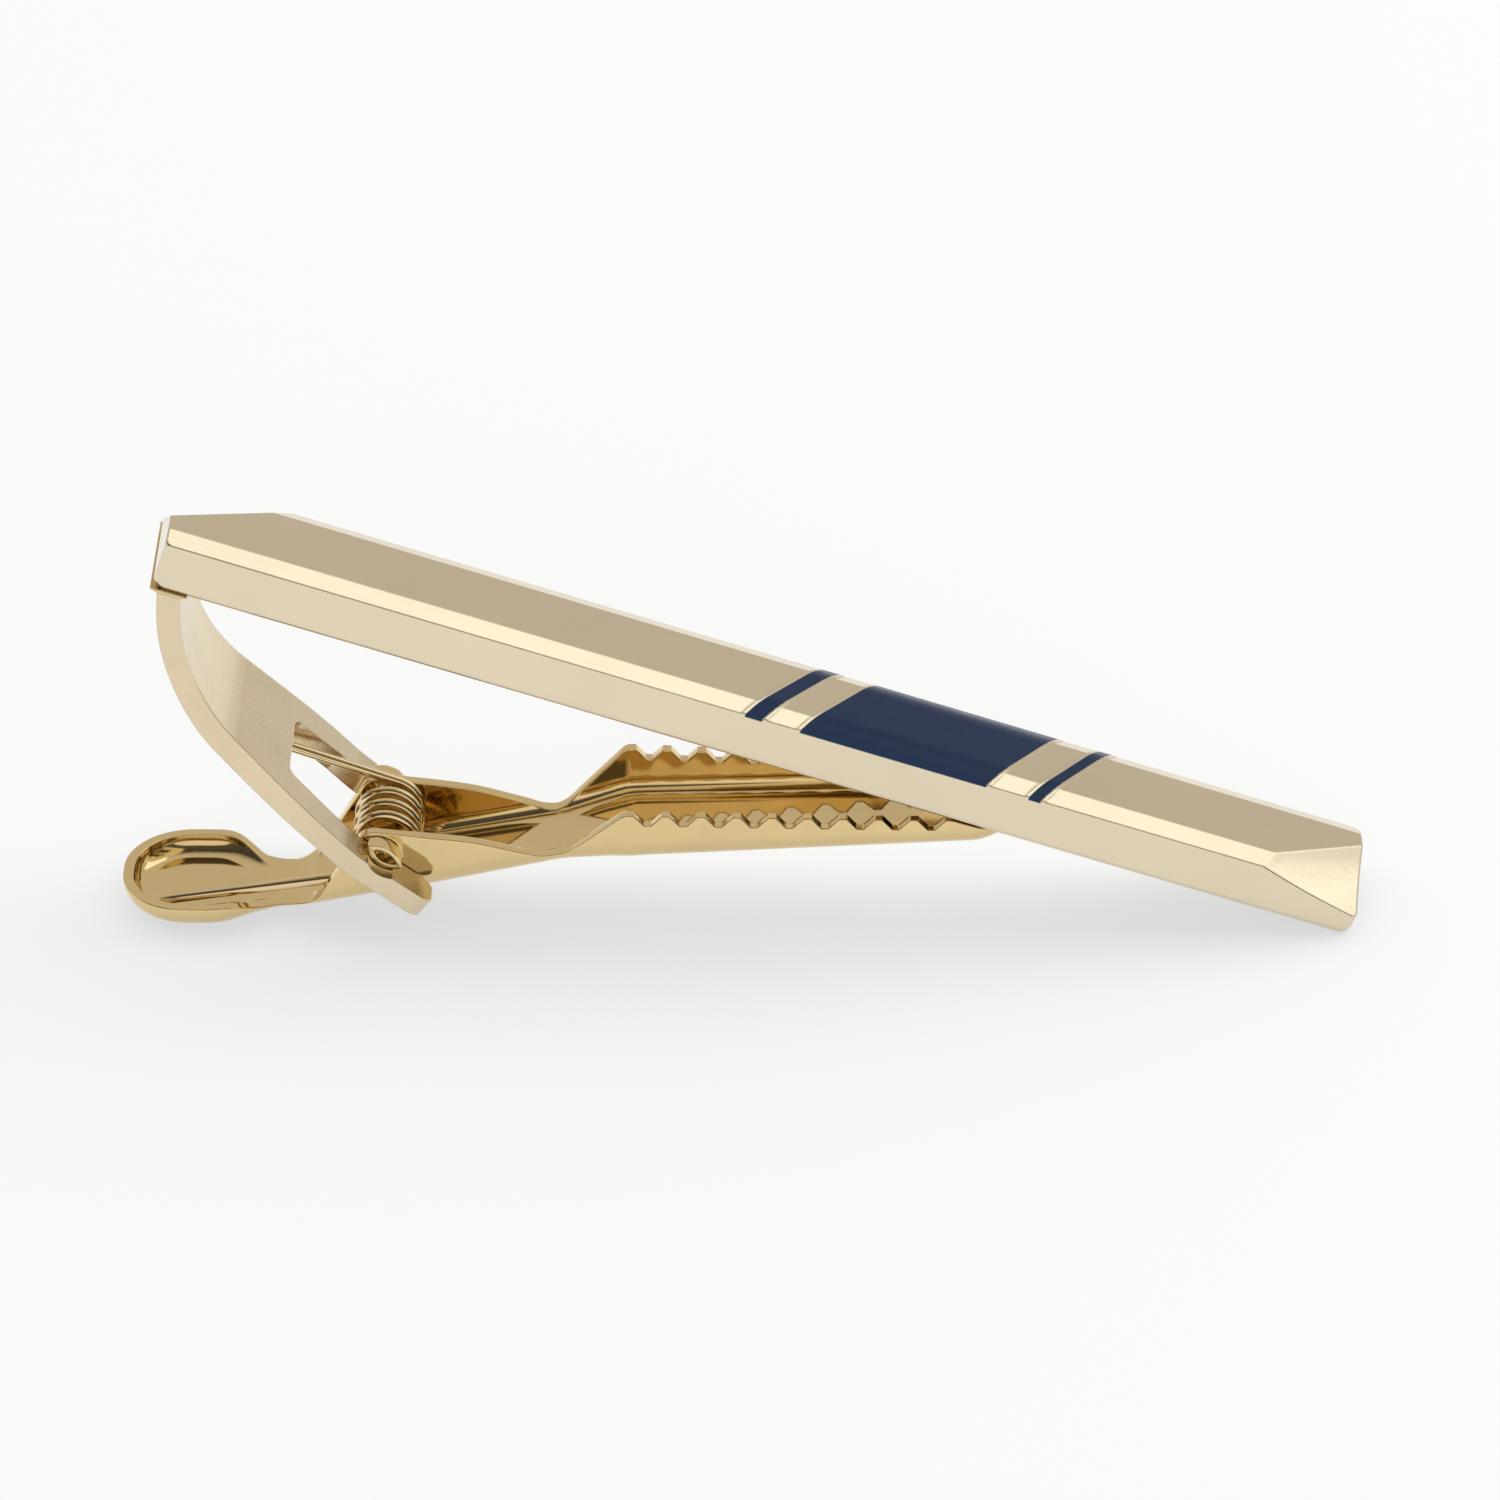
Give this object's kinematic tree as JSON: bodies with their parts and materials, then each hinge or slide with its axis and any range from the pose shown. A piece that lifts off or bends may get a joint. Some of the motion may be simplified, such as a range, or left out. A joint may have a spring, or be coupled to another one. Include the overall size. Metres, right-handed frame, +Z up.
{
  "type": "tie clip",
  "caption": "Pinch tie clip: faceted gold bar with slanted navy enamel cells, forked arm, and a toothed sprung jaw with thumb spoon",
  "frame": {"origin": "centre of the bottom of the bounding box, on the table the closed clip lies on", "axes": "+X along the clip from thumb spoon to the free end of the bar, +Y across it away from the pictured side, +Z up"},
  "size_m": [0.0601, 0.0088, 0.0218],
  "materials": {
    "gold_polished": "polished pale gold plate",
    "gold_satin": "satin pale gold plate",
    "solder": "plated solder bead",
    "navy_enamel": "glossy hard enamel",
    "spring_wire": "plated spring wire"
  },
  "bodies": {
    "holder": {"front_bar": "gold_polished", "enamel_panel": "navy_enamel", "enamel_stripe_wide": "navy_enamel", "enamel_stripe_narrow": "navy_enamel", "solder_seam": "solder", "spring_arm": "gold_satin", "torsion_spring": "spring_wire"},
    "jaw": {"jaw": "gold_satin"}
  },
  "joints": [
    {"name": "jaw_pinch", "type": "hinge", "parent": "holder", "child": "jaw", "pos_m": [-0.01669, 0, 0.00508], "axis": [0, 1, 0], "range_deg": [0, 20], "stiffness_Nm_per_rad": 0.06, "springref_deg": -34.38, "deforming": ["torsion_spring"]}
  ]
}
